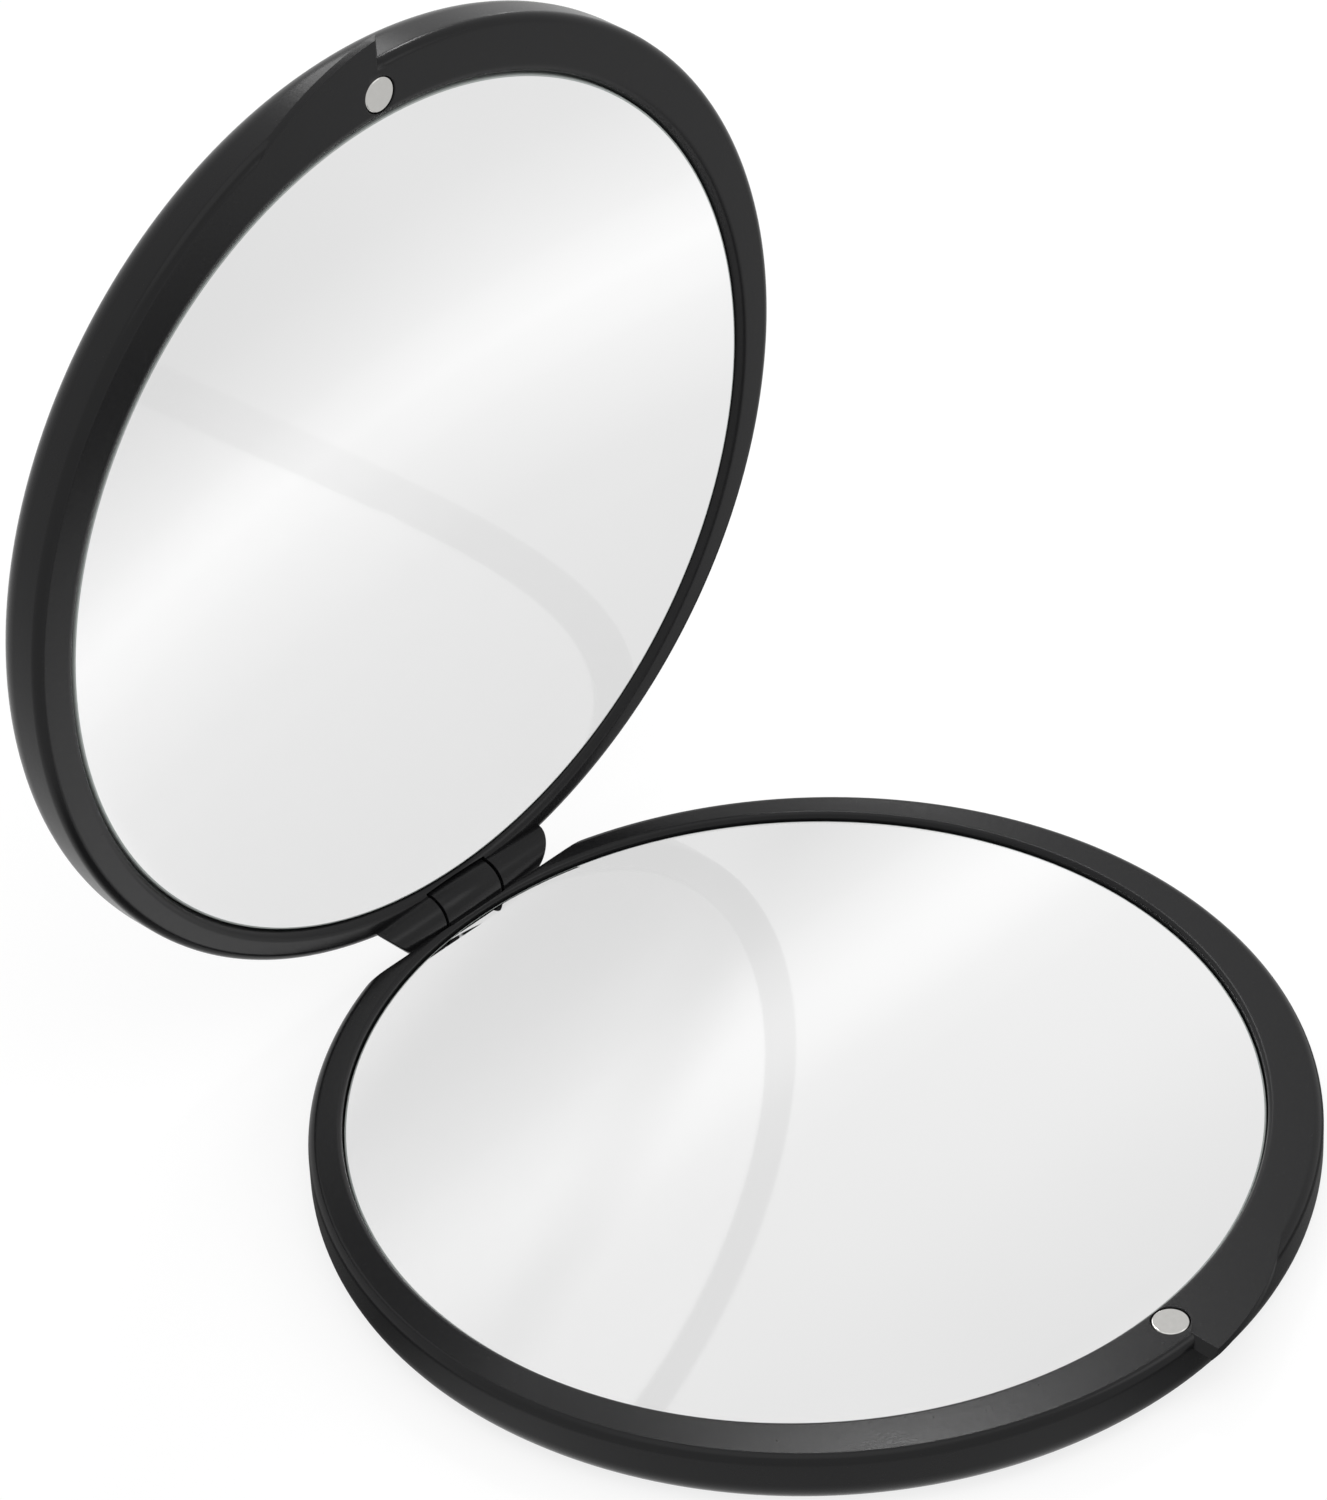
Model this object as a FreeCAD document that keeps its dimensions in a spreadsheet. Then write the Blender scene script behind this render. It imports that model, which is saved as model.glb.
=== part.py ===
import FreeCAD, Part
import math
import os
import Sketcher

# Round compact mirror, open at a right angle
# Millimetres. The origin is the centre of the base's underside, +Z is up and +Y points at the hinge.
# Each half is drawn lying on its back with its rim up and its hinge towards +Y.
# The lid is then turned into place.

doc = FreeCAD.newDocument("compact_mirror")

# Driving sizes
SIZES = [
    ("base_mirror_diameter", "63.7", "flat glass disc of the base"),
    ("lid_mirror_trim", "0.4", "concave glass disc of the lid, smaller than the flat one by"),
    ("mirror_thickness", "1.2", "glass of both discs"),
    ("mirror_curve_radius", "300", "concave face of the lid's glass"),
    ("mirror_edge_chamfer", "0.15", "ground edge of the glass"),
    ("mirror_clearance", "0.1", "radial gap from glass to recess"),
    ("base_mirror_inset", "0.65", "flat glass below the rim"),
    ("lid_mirror_inset", "0.35", "edge of the concave glass below the rim"),
    ("tape_thickness", "0.3", "double-sided tape under the flat glass"),
    ("tape_margin", "0.4", "tape ring in from both edges of its seat"),
    ("seat_width", "4.0", "ring in each shell that carries the glass"),
    ("shell_height", "4.5", "underside to rim of each shell"),
    ("floor_thickness", "1.1", "shell behind the mirror"),
    ("back_rim", "2.06", "base's rim between recess and outer edge at the hinge"),
    ("lid_recess_shift", "0.17", "lid's recess nearer the hinge than the base's"),
    ("bottom_edge_radius", "2.1", "rounded outer edge of each shell's back"),
    ("rim_edge_radius", "0.5", "softened outer edge of the rim"),
    ("recess_edge_radius", "0.4", "softened inner edge of the rim"),
    ("rim_gap", "0.1", "between the two rims when closed"),
    ("magnet_diameter", "2.6", "disc magnet"),
    ("magnet_thickness", "2.0", "disc magnet"),
    ("magnet_edge_radius", "0.12", "plated edge of the magnet"),
    ("magnet_clearance", "0.06", "radial gap from magnet to pocket"),
    ("magnet_inset", "0.05", "magnet below the rim"),
    ("magnet_inner_wall", "0.32", "base's rim between magnet pocket and recess"),
    ("magnet_outer_wall", "1.0", "rim between magnet pocket and outer edge"),
    ("lip_length", "11.5", "thumb lip along the front, from its step to its root"),
    ("lip_reach", "1.85", "thumb lip beyond the rim at its step"),
    ("lip_edge_radius", "23.1", "curve of the thumb lip's edge"),
    ("lip_thickness", "0.35", "edge of the thumb lip, down from the rim"),
    ("lip_slope_depth", "2.0", "sloping underside of the thumb lip, downwards"),
    ("lip_slope_run", "2.4", "sloping underside of the thumb lip, inwards"),
    ("lip_root", "0.5", "thumb lip's overlap with the rim"),
    ("relief_wall", "0.28", "base's wall between recess and hinge relief"),
    ("knuckle_diameter", "3.4", "barrel of the hinge"),
    ("knuckle_clearance", "0.18", "barrel to the other shell"),
    ("centre_knuckle_length", "5.3", "base's knuckle"),
    ("knuckle_end_gap", "0.25", "between neighbouring knuckles"),
    ("barrel_length", "13.9", "all three knuckles together, along the hinge axis"),
    ("barrel_end_angle", "39", "slant of the barrel's ends, in degrees"),
    ("web_foot_height", "1.2", "foot of the web under the base's knuckle"),
    ("pin_diameter", "1.2", "steel hinge pin"),
    ("pin_running_clearance", "0.03", "radial gap from pin to base's knuckle"),
    ("pin_sink", "0.75", "pin below the open end of its bore"),
    ("pin_end_gap", "0.2", "pin to the closed end of its bore"),
    ("pin_end_wall", "1.3", "closed end of the barrel"),
    ("pin_chamfer", "0.15", "both ends of the pin"),
    ("opening_angle", "91.5", "lid from closed, as photographed, in degrees"),
]

# Sizes that follow from the driving ones
WORKED = [
    ("base_recess_radius", "Sizes.base_mirror_diameter / 2 + Sizes.mirror_clearance"),
    ("lid_glass_radius", "(Sizes.base_mirror_diameter - Sizes.lid_mirror_trim) / 2"),
    ("lid_recess_radius", "lid_glass_radius + Sizes.mirror_clearance"),
    ("pocket_radius", "Sizes.magnet_diameter / 2 + Sizes.magnet_clearance"),
    ("pocket_depth", "Sizes.magnet_thickness + Sizes.magnet_inset"),
    ("front_rim", "Sizes.magnet_inner_wall + 2 * pocket_radius + Sizes.magnet_outer_wall"),
    ("case_radius", "base_recess_radius + (front_rim + Sizes.back_rim) / 2"),
    ("recess_offset", "(front_rim - Sizes.back_rim) / 2"),
    ("lid_recess_offset", "recess_offset + Sizes.lid_recess_shift"),
    ("magnet_place", "case_radius - Sizes.magnet_outer_wall - pocket_radius"),
    ("seat_depth", "Sizes.base_mirror_inset + Sizes.mirror_thickness + Sizes.tape_thickness"),
    ("seat_height", "Sizes.shell_height - seat_depth"),
    ("cavity_depth", "Sizes.shell_height - Sizes.floor_thickness"),
    ("knuckle_radius", "Sizes.knuckle_diameter / 2"),
    ("scoop_radius", "knuckle_radius + Sizes.knuckle_clearance"),
    ("relief_place", "recess_offset + base_recess_radius + Sizes.relief_wall"),
    ("hinge_place", "relief_place + scoop_radius"),
    ("hinge_height", "Sizes.shell_height + Sizes.rim_gap / 2"),
    ("centre_half", "Sizes.centre_knuckle_length / 2"),
    ("outer_start", "centre_half + Sizes.knuckle_end_gap"),
    ("barrel_half", "Sizes.barrel_length / 2"),
    ("barrel_flare", "Sizes.knuckle_diameter * tan(Sizes.barrel_end_angle)"),
    ("barrel_stock", "barrel_half + barrel_flare"),
    ("pin_length", "Sizes.barrel_length - Sizes.pin_sink - Sizes.pin_end_gap - Sizes.pin_end_wall"),
    ("bore_end", "barrel_half - Sizes.pin_end_wall"),
    ("back_curve_radius", "Sizes.mirror_curve_radius + Sizes.mirror_thickness"),
    ("curve_centre", "sqrt(Sizes.mirror_curve_radius ^ 2 - lid_glass_radius ^ 2)"),
    ("lid_seat_outer", "lid_recess_radius - Sizes.tape_margin"),
    ("lid_seat_inner", "lid_recess_radius - Sizes.seat_width + Sizes.tape_margin"),
    ("lid_glass_lift", "Sizes.shell_height - Sizes.lid_mirror_inset - seat_height"),
]


def fill_sheet(sheet, rows):
    """Writes one named value to a row of the sheet."""
    for number, row in enumerate(rows, 1):
        sheet.set(f"A{number}", row[0])
        sheet.set(f"B{number}", row[1])
        sheet.setAlias(f"B{number}", row[0])
        if len(row) > 2:
            sheet.set(f"C{number}", row[2])


sizes = doc.addObject("Spreadsheet::Sheet", "Sizes")
fill_sheet(sizes, SIZES)
worked = doc.addObject("Spreadsheet::Sheet", "Worked")
fill_sheet(worked, [(name, "=" + formula) for name, formula in WORKED])
doc.recompute()


def value(formula):
    """Number that a formula of the two sheets gives now."""
    return float(sizes.evalExpression(formula))


# Sketch and feature helpers

def new_body(label):
    """Empty body for one piece."""
    body = doc.addObject("PartDesign::Body", label)
    body.Label = label
    return body


def new_sketch(body, role, name, across="0", up="0", lift="0"):
    """Sketch on one of the body's own planes, moved by formulas along that plane and off it."""
    planes = [plane for plane in body.Origin.OriginFeatures if plane.Role == role]
    sketch = body.newObject("Sketcher::SketchObject", name)
    sketch.AttachmentSupport = [(planes[0], "")]
    sketch.MapMode = "FlatFace"
    for direction, formula in (("x", across), ("y", up), ("z", lift)):
        if formula != "0":
            sketch.setExpression(f"AttachmentOffset.Base.{direction}", formula)
    return sketch


def bind(sketch, constraint, formula):
    """Adds a dimension to a sketch and ties it to a formula."""
    row = sketch.addConstraint(constraint)
    sketch.setExpression(f"Constraints[{row}]", formula)


def fix_point(sketch, side, end, across, up):
    """Ties one point of a side to its two distances from the sketch's origin."""
    for kind, formula, axis in (("DistanceX", across, -2), ("DistanceY", up, -1)):
        place = value(formula)
        if formula == "0":
            sketch.addConstraint(Sketcher.Constraint("PointOnObject", side, end, axis))
        elif place > 0:
            bind(sketch, Sketcher.Constraint(kind, -1, 1, side, end, place), formula)
        else:
            bind(sketch, Sketcher.Constraint(kind, side, end, -1, 1, -place), f"-({formula})")


def draw_circle(sketch, radius, up="0"):
    """Circle on the sketch's upright axis."""
    centre = FreeCAD.Vector(0, value(up), 0)
    side = sketch.addGeometry(Part.Circle(centre, FreeCAD.Vector(0, 0, 1), value(radius)))
    fix_point(sketch, side, 3, "0", up)
    bind(sketch, Sketcher.Constraint("Radius", side, value(radius)), radius)


def arc_between(start, end, radius, turn):
    """Short arc between two points. It turns left for a turn of 1, and right for -1."""
    chord = end - start
    middle = (start + end) * 0.5
    reach = math.sqrt(radius ** 2 - (chord.Length / 2) ** 2)
    normal = FreeCAD.Vector(-chord.y, chord.x, 0).normalize()
    centre = middle + normal * reach * turn
    angles = [math.atan2(point.y - centre.y, point.x - centre.x) for point in (start, end)]
    if turn < 0:
        angles.reverse()
    if angles[1] < angles[0]:
        angles[1] += 2 * math.pi
    return Part.ArcOfCircle(Part.Circle(centre, FreeCAD.Vector(0, 0, 1), radius), *angles)


def draw_outline(sketch, corners, arcs=None):
    """Closed outline through corners given as formulas. An arc is a radius and a turn at its first corner."""
    arcs = arcs or {}
    points = [FreeCAD.Vector(value(across), value(up), 0) for across, up in corners]
    ends = []
    for number, start in enumerate(points):
        end = points[(number + 1) % len(points)]
        if number in arcs:
            radius, turn = arcs[number]
            side = sketch.addGeometry(arc_between(start, end, value(radius), turn))
            ends.append((side, 1, 2) if turn > 0 else (side, 2, 1))
        else:
            side = sketch.addGeometry(Part.LineSegment(start, end))
            ends.append((side, 1, 2))
    for number, (side, first, last) in enumerate(ends):
        following = ends[(number + 1) % len(ends)]
        sketch.addConstraint(Sketcher.Constraint("Coincident", side, last, following[0], following[1]))
        fix_point(sketch, side, first, *corners[number])
    for number, (radius, turn) in arcs.items():
        bind(sketch, Sketcher.Constraint("Radius", ends[number][0], value(radius)), radius)


def add_extrusion(body, kind, sketch, name, length, backwards=False, both_ways=False):
    """Pad or pocket of a sketch, as long as a formula says."""
    feature = body.newObject(kind, name)
    feature.Profile = sketch
    feature.Reversed = backwards
    feature.Midplane = both_ways
    feature.setExpression("Length", length)
    return feature


def add_turning(body, kind, sketch, name, axis):
    """Full revolution or groove of a sketch about one of its own axes."""
    feature = body.newObject(kind, name)
    feature.Profile = sketch
    feature.ReferenceAxis = (sketch, [axis])
    feature.Angle = 360
    return feature


def soften(body, kind, name, size_name, size, wanted):
    """Fillet or chamfer on the edges of the body so far that the test picks out."""
    doc.recompute()
    base = body.Tip
    edges = [f"Edge{number}" for number, edge in enumerate(base.Shape.Edges, 1) if wanted(edge)]
    feature = body.newObject(kind, name)
    feature.Base = (base, edges)
    feature.setExpression(size_name, size)
    return feature


def is_ring(edge, radius, height):
    """True for a whole circle of that radius at that height."""
    if not isinstance(edge.Curve, Part.Circle):
        return False
    same_size = abs(edge.Curve.Radius - value(radius)) < 1e-4
    return same_size and abs(edge.Curve.Center.z - value(height)) < 1e-4


# The two shells

RIM = "Sizes.shell_height"


def cut_from_rim(body, name, radius, up, depth):
    """Round pocket sunk from the rim."""
    sketch = new_sketch(body, "XY_Plane", f"{name}_sketch", lift=RIM)
    draw_circle(sketch, radius, up)
    add_extrusion(body, "PartDesign::Pocket", sketch, name, depth)


def hinge_sketch(body, name):
    """Sketch whose own X axis is the hinge axis."""
    return new_sketch(body, "XY_Plane", name, up="Worked.hinge_place", lift="Worked.hinge_height")


def draw_bar(sketch, start, end, radius):
    """Half section of a plain round bar along the sketch's X axis."""
    draw_outline(sketch, [(start, "0"), (end, "0"), (end, radius), (start, radius)])


def add_round_case(body):
    """Low round block with a rounded back edge and a soft rim edge."""
    sketch = new_sketch(body, "XZ_Plane", "case_sketch")
    wall = "Worked.case_radius"
    corners = [("0", "0"), (f"{wall} - Sizes.bottom_edge_radius", "0"), (wall, "Sizes.bottom_edge_radius"),
               (wall, f"{RIM} - Sizes.rim_edge_radius"), (f"{wall} - Sizes.rim_edge_radius", RIM), ("0", RIM)]
    draw_outline(sketch, corners, {1: ("Sizes.bottom_edge_radius", 1), 3: ("Sizes.rim_edge_radius", 1)})
    add_turning(body, "PartDesign::Revolution", sketch, "case", "V_Axis")


def lip_sketch(body, name, up, lift):
    """Outline of the thumb lip, which widens along the front and ends in a step on the centre line."""
    sketch = new_sketch(body, "XY_Plane", name, up=up, lift=lift)
    root = "(Worked.case_radius - Sizes.lip_root)"
    tip = "(Worked.case_radius + Sizes.lip_reach)"
    start = ("Sizes.lip_length", f"-sqrt({root} ^ 2 - Sizes.lip_length ^ 2)")
    draw_outline(sketch, [("0", f"-{root}"), ("0", f"-{tip}"), start], {1: ("Sizes.lip_edge_radius", 1)})
    return sketch


def add_thumb_lip(body):
    """Thin lip level with the rim, whose underside slopes back into the wall."""
    underside = f"{RIM} - Sizes.lip_thickness"
    sketch = lip_sketch(body, "lip_sketch", "0", RIM)
    add_extrusion(body, "PartDesign::Pad", sketch, "thumb_lip", "Sizes.lip_thickness", backwards=True)
    slope = body.newObject("PartDesign::AdditiveLoft", "lip_slope")
    slope.Profile = lip_sketch(body, "slope_top_sketch", "0", underside)
    foot = f"{underside} - Sizes.lip_slope_depth"
    slope.Sections = [lip_sketch(body, "slope_foot_sketch", "Sizes.lip_slope_run", foot)]
    slope.Ruled = True


def add_recess(body, recess_radius, offset):
    """Recess, seat and hollow for the glass, and the pocket for the magnet."""
    cut_from_rim(body, "recess", recess_radius, offset, "Worked.seat_depth")
    hollow_radius = f"{recess_radius} - Sizes.seat_width"
    cut_from_rim(body, "hollow", hollow_radius, offset, "Worked.cavity_depth")
    soften(body, "PartDesign::Fillet", "recess_edge", "Radius", "Sizes.recess_edge_radius",
           lambda edge: is_ring(edge, recess_radius, RIM))
    cut_from_rim(body, "magnet_pocket", "Worked.pocket_radius", "-Worked.magnet_place", "Worked.pocket_depth")


def make_base_shell():
    """Lower half, with a flat relief across its hinge side and the middle knuckle."""
    body = new_body("base_shell")
    add_round_case(body)
    add_thumb_lip(body)
    add_recess(body, "Worked.base_recess_radius", "Worked.recess_offset")
    sketch = new_sketch(body, "XY_Plane", "relief_sketch", lift=RIM)
    left = "-Worked.case_radius"
    right = "Worked.case_radius"
    near = "Worked.relief_place"
    far = "Worked.case_radius + Sizes.knuckle_diameter"
    draw_outline(sketch, [(left, near), (right, near), (right, far), (left, far)])
    add_extrusion(body, "PartDesign::Pocket", sketch, "hinge_relief", RIM)
    sketch = new_sketch(body, "YZ_Plane", "web_sketch")
    inside = "Worked.relief_place - Sizes.relief_wall / 2"
    draw_outline(sketch, [(inside, RIM), (inside, "Sizes.web_foot_height"),
                          ("Worked.hinge_place", "Worked.hinge_height - Worked.knuckle_radius"),
                          ("Worked.hinge_place", RIM)])
    add_extrusion(body, "PartDesign::Pad", sketch, "web", "Sizes.centre_knuckle_length", both_ways=True)
    sketch = hinge_sketch(body, "knuckle_sketch")
    draw_bar(sketch, "-Worked.centre_half", "Worked.centre_half", "Worked.knuckle_radius")
    add_turning(body, "PartDesign::Revolution", sketch, "centre_knuckle", "H_Axis")
    sketch = hinge_sketch(body, "bore_sketch")
    bore = "Sizes.pin_diameter / 2 + Sizes.pin_running_clearance"
    draw_bar(sketch, "-Worked.outer_start", "Worked.outer_start", bore)
    add_turning(body, "PartDesign::Groove", sketch, "pin_bore", "H_Axis")
    return body


def add_barrel(body):
    """Hinge barrel of the lid in one length. Its slanted ends are longer on the side that joins the case."""
    sketch = hinge_sketch(body, "barrel_sketch")
    draw_bar(sketch, "-Worked.barrel_stock", "Worked.barrel_stock", "Worked.knuckle_radius")
    add_turning(body, "PartDesign::Revolution", sketch, "barrel", "H_Axis")
    side = "Sizes.knuckle_diameter"
    for sign, name in (("", "right"), ("-", "left")):
        sketch = hinge_sketch(body, f"{name}_end_sketch")
        corners = [(f"{sign}Worked.barrel_stock", f"-{side}"),
                   (f"{sign}(Worked.barrel_stock + Worked.barrel_flare)", side),
                   (f"{sign}(Worked.barrel_half - Worked.barrel_flare)", side)]
        draw_outline(sketch, corners)
        add_extrusion(body, "PartDesign::Pocket", sketch, f"{name}_end", f"2 * {side}", both_ways=True)


def make_lid_shell():
    """Upper half, drawn on its back, with the two outer knuckles and a scoop for the middle one."""
    body = new_body("lid_shell")
    add_barrel(body)
    add_round_case(body)
    add_thumb_lip(body)
    add_recess(body, "Worked.lid_recess_radius", "Worked.lid_recess_offset")
    sketch = hinge_sketch(body, "scoop_sketch")
    draw_bar(sketch, "-Worked.outer_start", "Worked.outer_start", "Worked.scoop_radius")
    add_turning(body, "PartDesign::Groove", sketch, "knuckle_scoop", "H_Axis")
    sketch = hinge_sketch(body, "bore_sketch")
    draw_bar(sketch, "-Worked.barrel_stock", "Worked.bore_end", "Sizes.pin_diameter / 2")
    add_turning(body, "PartDesign::Groove", sketch, "pin_bore", "H_Axis")
    return body


# The mirrors and the tape behind them, drawn about the middle of their undersides

def make_base_mirror():
    """Flat glass disc with a ground edge."""
    body = new_body("base_mirror")
    sketch = new_sketch(body, "XY_Plane", "glass_sketch")
    draw_circle(sketch, "Sizes.base_mirror_diameter / 2")
    add_extrusion(body, "PartDesign::Pad", sketch, "glass", "Sizes.mirror_thickness")
    soften(body, "PartDesign::Chamfer", "ground_edge", "Size", "Sizes.mirror_edge_chamfer",
           lambda edge: isinstance(edge.Curve, Part.Circle))
    return body


def make_base_tape():
    """Flat ring of double-sided tape."""
    body = new_body("base_mirror_tape")
    sketch = new_sketch(body, "XY_Plane", "tape_sketch")
    draw_circle(sketch, "Worked.base_recess_radius - Sizes.tape_margin")
    draw_circle(sketch, "Worked.base_recess_radius - Sizes.seat_width + Sizes.tape_margin")
    add_extrusion(body, "PartDesign::Pad", sketch, "tape", "Sizes.tape_thickness")
    return body


def back_of_glass(radius):
    """Height of the concave glass's back at a radius, from the rim edge of its face."""
    return f"Worked.curve_centre - sqrt(Worked.back_curve_radius ^ 2 - ({radius}) ^ 2)"


def make_lid_mirror():
    """Concave glass disc of even thickness, ground at its edge. Its origin is the middle of its face rim."""
    body = new_body("lid_mirror")
    sketch = new_sketch(body, "XZ_Plane", "glass_sketch")
    edge = "Worked.lid_glass_radius"
    face_edge = f"{edge} - Sizes.mirror_edge_chamfer"
    face_height = f"Worked.curve_centre - sqrt(Sizes.mirror_curve_radius ^ 2 - ({face_edge}) ^ 2)"
    corners = [("0", "Worked.curve_centre - Worked.back_curve_radius"), (edge, back_of_glass(edge)),
               (edge, "-Sizes.mirror_edge_chamfer"), (face_edge, face_height),
               ("0", "Worked.curve_centre - Sizes.mirror_curve_radius")]
    draw_outline(sketch, corners, {0: ("Worked.back_curve_radius", 1), 3: ("Sizes.mirror_curve_radius", -1)})
    add_turning(body, "PartDesign::Revolution", sketch, "glass", "V_Axis")
    return body


def make_lid_tape():
    """Ring of tape pressed to the curve of the concave glass. It shares the glass's origin."""
    body = new_body("lid_mirror_tape")
    sketch = new_sketch(body, "XZ_Plane", "tape_sketch")
    outer = "Worked.lid_seat_outer"
    inner = "Worked.lid_seat_inner"
    foot = "-Worked.lid_glass_lift"
    corners = [(inner, foot), (outer, foot), (outer, back_of_glass(outer)), (inner, back_of_glass(inner))]
    draw_outline(sketch, corners, {2: ("Worked.back_curve_radius", -1)})
    add_turning(body, "PartDesign::Revolution", sketch, "tape", "V_Axis")
    return body


# Magnets and hinge pin

def make_magnet(label):
    """Plated disc magnet, drawn about the middle of its underside."""
    body = new_body(label)
    sketch = new_sketch(body, "XY_Plane", "disc_sketch")
    draw_circle(sketch, "Sizes.magnet_diameter / 2")
    add_extrusion(body, "PartDesign::Pad", sketch, "disc", "Sizes.magnet_thickness")
    soften(body, "PartDesign::Fillet", "plated_edge", "Radius", "Sizes.magnet_edge_radius",
           lambda edge: isinstance(edge.Curve, Part.Circle))
    return body


def make_hinge_pin():
    """Straight steel pin along X, drawn from its sunk end."""
    body = new_body("hinge_pin")
    sketch = new_sketch(body, "YZ_Plane", "pin_sketch")
    draw_circle(sketch, "Sizes.pin_diameter / 2")
    add_extrusion(body, "PartDesign::Pad", sketch, "pin", "Worked.pin_length")
    soften(body, "PartDesign::Chamfer", "pin_ends", "Size", "Sizes.pin_chamfer",
           lambda edge: isinstance(edge.Curve, Part.Circle))
    return body


# Assembly

def place(x=0, y=0, z=0):
    """Placement that only moves."""
    return FreeCAD.Placement(FreeCAD.Vector(x, y, z), FreeCAD.Rotation())


def lid_place():
    """Turns the lid from lying on its back, hinge to hinge with the base, to its opening angle."""
    axis_x = FreeCAD.Vector(1, 0, 0)
    axis_z = FreeCAD.Vector(0, 0, 1)
    hinge = place(y=value("Worked.hinge_place"), z=value("Worked.hinge_height"))
    face_about = FreeCAD.Placement(FreeCAD.Vector(), FreeCAD.Rotation(axis_z, 180))
    close = FreeCAD.Placement(FreeCAD.Vector(), FreeCAD.Rotation(axis_x, 180 - value("Sizes.opening_angle")))
    return hinge * close * face_about * hinge.inverse()


lid = lid_place()
recess_centre = value("Worked.recess_offset")
seat = value("Worked.seat_height")
rim = value(RIM)
magnet_spot = place(y=-value("Worked.magnet_place"), z=rim - value("Worked.pocket_depth"))
lid_glass_spot = place(y=value("Worked.lid_recess_offset"), z=rim - value("Sizes.lid_mirror_inset"))
pin_spot = place(x=value("Sizes.pin_sink - Worked.barrel_half"), y=value("Worked.hinge_place"),
                 z=value("Worked.hinge_height"))

pieces = [
    (make_base_shell(), place()),
    (make_base_mirror(), place(y=recess_centre, z=seat + value("Sizes.tape_thickness"))),
    (make_base_tape(), place(y=recess_centre, z=seat)),
    (make_magnet("base_magnet"), magnet_spot),
    (make_lid_shell(), lid),
    (make_lid_mirror(), lid * lid_glass_spot),
    (make_lid_tape(), lid * lid_glass_spot),
    (make_magnet("lid_magnet"), lid * magnet_spot),
    (make_hinge_pin(), lid * pin_spot),
]
for body, spot in pieces:
    body.Placement = spot
doc.recompute()

# Every feature has to be sound, and every piece one valid solid, before anything is written
for item in doc.Objects:
    if "Invalid" in item.State or "Error" in item.State:
        raise RuntimeError(f"{item.Label} failed: {item.State}")
for body, spot in pieces:
    shape = body.Shape
    if shape.isNull() or not shape.isValid() or len(shape.Solids) != 1:
        raise RuntimeError(f"{body.Label} is not one valid solid")

os.makedirs("parts", exist_ok=True)
for body, spot in pieces:
    body.Shape.exportStep(f"parts/{body.Label}.step")
    print(f"{body.Label}: {body.Shape.Volume:.2f} mm3")
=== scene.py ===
import math

import bmesh
import bpy
from bpy.props import FloatProperty, FloatVectorProperty, PointerProperty
from mathutils import Euler, Matrix, Vector


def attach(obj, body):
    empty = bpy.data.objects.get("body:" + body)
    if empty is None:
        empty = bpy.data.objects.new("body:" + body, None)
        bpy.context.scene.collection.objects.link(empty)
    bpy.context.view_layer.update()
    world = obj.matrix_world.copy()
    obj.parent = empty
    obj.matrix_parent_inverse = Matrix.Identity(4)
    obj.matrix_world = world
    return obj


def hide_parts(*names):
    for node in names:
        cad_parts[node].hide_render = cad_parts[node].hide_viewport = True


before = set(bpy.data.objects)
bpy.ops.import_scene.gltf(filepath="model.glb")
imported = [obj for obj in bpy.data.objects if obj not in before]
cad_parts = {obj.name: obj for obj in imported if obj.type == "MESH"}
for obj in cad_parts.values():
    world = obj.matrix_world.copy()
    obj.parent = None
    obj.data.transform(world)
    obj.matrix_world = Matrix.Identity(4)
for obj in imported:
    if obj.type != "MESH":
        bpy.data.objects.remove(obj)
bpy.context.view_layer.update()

bl_info = {
    "name": "Compact Mirror",
    "version": (1, 0, 0),
    "blender": (4, 5, 0),
    "location": "View3D > Sidebar > Compact",
    "description": "Models a round pocket mirror with a hinged lid, and the studio it stands in",
    "category": "Object",
}

MM = 0.001
RING = 256   # flats round the case, too fine to see as corners
CLOSE = 0.01   # millimetres within which a point counts as lying on a ring, a plane or a level
LEVEL = 0.9999   # the upward part of a level face's normal, at least
WELD = 0.002   # millimetres under which two points are made one
FLUSH = 0.004   # millimetres that a joined piece stays under a rim, so that no two faces share a plane
THROUGH = 20.0   # millimetres, longer than the hinge, for a bore right through the middle knuckle
SLANT_SPARE = 8.0   # millimetres that the barrel is longer before its ends are cut at a slant
BORE_FLATS = 48   # flats round the small bore of the hinge
ALONG_HINGE = (0.0, math.pi / 2, 0.0)   # turns an upright bar to lie along the hinge


# Sizes and colours

def length(name, description, millimetres):
    """A size property, given in millimetres and kept in metres."""
    return FloatProperty(name=name, description=description, default=millimetres * MM, min=0.0,
                         unit="LENGTH", precision=5)


def to_linear(hex_colour):
    """An sRGB hex colour as linear red, green and blue."""
    parts = [int(hex_colour[i:i + 2], 16) / 255 for i in (0, 2, 4)]
    return tuple(p / 12.92 if p <= 0.04045 else ((p + 0.055) / 1.055) ** 2.4 for p in parts)


def colour(name, description, hex_colour):
    """A colour property, given as an sRGB hex value."""
    return FloatVectorProperty(name=name, description=description, default=to_linear(hex_colour),
                               size=3, min=0.0, max=1.0, subtype="COLOR")


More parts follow.
